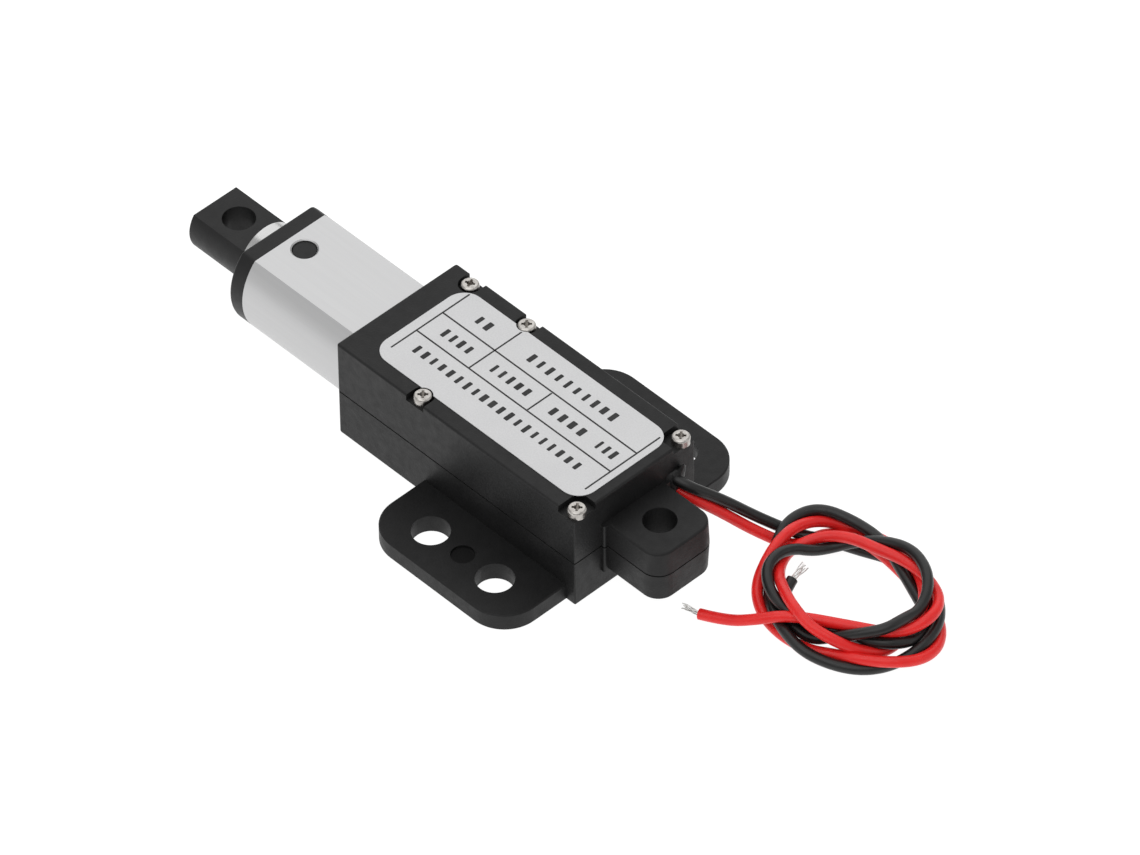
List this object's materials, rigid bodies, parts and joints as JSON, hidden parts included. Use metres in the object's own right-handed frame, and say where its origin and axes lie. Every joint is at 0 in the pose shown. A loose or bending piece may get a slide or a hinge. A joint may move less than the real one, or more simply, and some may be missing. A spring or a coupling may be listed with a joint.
{
  "type": "linear actuator",
  "caption": "Small in-line linear actuator: black two-part housing with side ears and rear pivot eye, flat-sided silver tube, round rod with pivot eye, twin wires.",
  "frame": {"origin": "centre of the rear pivot eye, on the rod's axis", "axes": "+X along the rod, the way it extends; +Z along the pivot eye, away from the mounting base; +Y to the side away from the wires"},
  "size_m": [0.1083, 0.0432, 0.015],
  "materials": {
    "black_abs": "fine matt moulded texture",
    "label_film": "satin silver film with black print",
    "nickel_screw": "bright nickel plate",
    "satin_aluminium": "satin anodised, drawn lengthwise",
    "black_nylon": "smooth matt",
    "rod_metal": "smooth satin",
    "sintered_bronze": "matt sintered",
    "seal_rubber": "matt",
    "die_cast_zinc": "as cast",
    "bearing_steel": "ground",
    "steel": "machined",
    "brass": "machined",
    "plated_can": "dull plated",
    "motor_plastic": "moulded",
    "copper": "enamelled wire and bare copper",
    "carbon": "pressed",
    "board_green": "lacquered",
    "plunger_red": "moulded",
    "black_pvc": "soft gloss",
    "red_pvc": "soft gloss",
    "tinned_copper": "tinned strands"
  },
  "bodies": {
    "housing": {"lower_shell": "black_abs", "upper_shell": "black_abs", "housing_screws": "nickel_screw", "rating_label": "label_film", "outer_tube": "satin_aluminium", "end_cap": "black_nylon", "cap_pegs": "black_nylon", "guide_bush": "sintered_bronze", "rod_wiper": "seal_rubber", "bearing_block": "die_cast_zinc", "bearing_outer_ring": "bearing_steel", "gearbox_rear_plate": "steel", "gearbox_front_plate": "steel", "gearbox_pillars": "steel", "output_bush": "sintered_bronze", "lay_pin": "steel", "motor_can": "plated_can", "motor_bush": "sintered_bronze", "motor_end_bell": "motor_plastic", "motor_terminals": "copper", "motor_brushes": "carbon", "motor_magnets": "carbon", "switch_board": "board_green", "board_diodes": "motor_plastic", "rear_limit_switch": "motor_plastic", "front_limit_switch": "motor_plastic", "red_inner_lead": "red_pvc", "black_inner_lead": "black_pvc", "wire_sealant": "seal_rubber", "black_lead": "black_pvc", "red_lead": "red_pvc", "lead_coil": "red_pvc", "red_tail": "red_pvc", "red_tail_strands": "tinned_copper", "black_tail_strands": "tinned_copper"},
    "motor_rotor": {"motor_shaft": "steel", "rotor_core": "plated_can", "rotor_windings": "copper", "commutator": "copper", "motor_pinion": "brass"},
    "first_gear": {"idler_gear_1": "brass"},
    "second_gear": {"idler_gear_2": "brass"},
    "third_gear": {"idler_gear_3": "brass"},
    "screw_line": {"output_gear": "brass", "output_shaft": "steel", "screw_coupler": "steel", "coupler_pins": "steel", "lead_screw": "steel", "bearing_inner_ring": "bearing_steel", "thrust_washer": "bearing_steel"},
    "ball_set": {"bearing_balls": "bearing_steel", "ball_cage": "brass"},
    "rod_line": {"push_rod": "rod_metal", "rod_end": "black_nylon", "rod_end_pin": "steel", "drive_nut": "brass"},
    "rear_plunger": {"rear_switch_plunger": "plunger_red"},
    "front_plunger": {"front_switch_plunger": "plunger_red"}
  },
  "joints": [
    {"name": "motor_spin", "type": "hinge", "parent": "housing", "child": "motor_rotor", "pos_m": [0.016, 0, 0], "axis": [-1, 0, 0], "range_deg": [0, 321502.06]},
    {"name": "first_gear_spin", "type": "hinge", "parent": "housing", "child": "first_gear", "pos_m": [0.025, 0.0034, 0], "axis": [-1, 0, 0], "range_deg": [-115740.74, 0]},
    {"name": "second_gear_spin", "type": "hinge", "parent": "housing", "child": "second_gear", "pos_m": [0.025, 0, 0], "axis": [-1, 0, 0], "range_deg": [0, 41666.67]},
    {"name": "third_gear_spin", "type": "hinge", "parent": "housing", "child": "third_gear", "pos_m": [0.025, 0.0034, 0], "axis": [-1, 0, 0], "range_deg": [-15000, 0]},
    {"name": "screw_spin", "type": "hinge", "parent": "housing", "child": "screw_line", "pos_m": [0.038, 0, 0], "axis": [-1, 0, 0], "range_deg": [0, 5400]},
    {"name": "ball_set_spin", "type": "hinge", "parent": "housing", "child": "ball_set", "pos_m": [0.0383, 0, 0], "axis": [-1, 0, 0], "range_deg": [0, 2106]},
    {"name": "rod_slide", "type": "slide", "parent": "housing", "child": "rod_line", "axis": [1, 0, 0], "range_m": [0, 0.015]},
    {"name": "rear_plunger_slide", "type": "slide", "parent": "housing", "child": "rear_plunger", "axis": [-1, 0, 0], "range_m": [0, 0.0004], "stiffness_N_per_m": 40},
    {"name": "front_plunger_slide", "type": "slide", "parent": "housing", "child": "front_plunger", "axis": [1, 0, 0], "range_m": [0, 0.0004], "stiffness_N_per_m": 40}
  ],
  "couplings": [
    {"joint": "motor_spin", "follows": "rod_slide", "rad_per_m": 374080},
    {"joint": "first_gear_spin", "follows": "rod_slide", "rad_per_m": -134670},
    {"joint": "second_gear_spin", "follows": "rod_slide", "rad_per_m": 48481},
    {"joint": "third_gear_spin", "follows": "rod_slide", "rad_per_m": -17453},
    {"joint": "screw_spin", "follows": "rod_slide", "rad_per_m": 6283.2},
    {"joint": "ball_set_spin", "follows": "rod_slide", "rad_per_m": 2450.4}
  ]
}
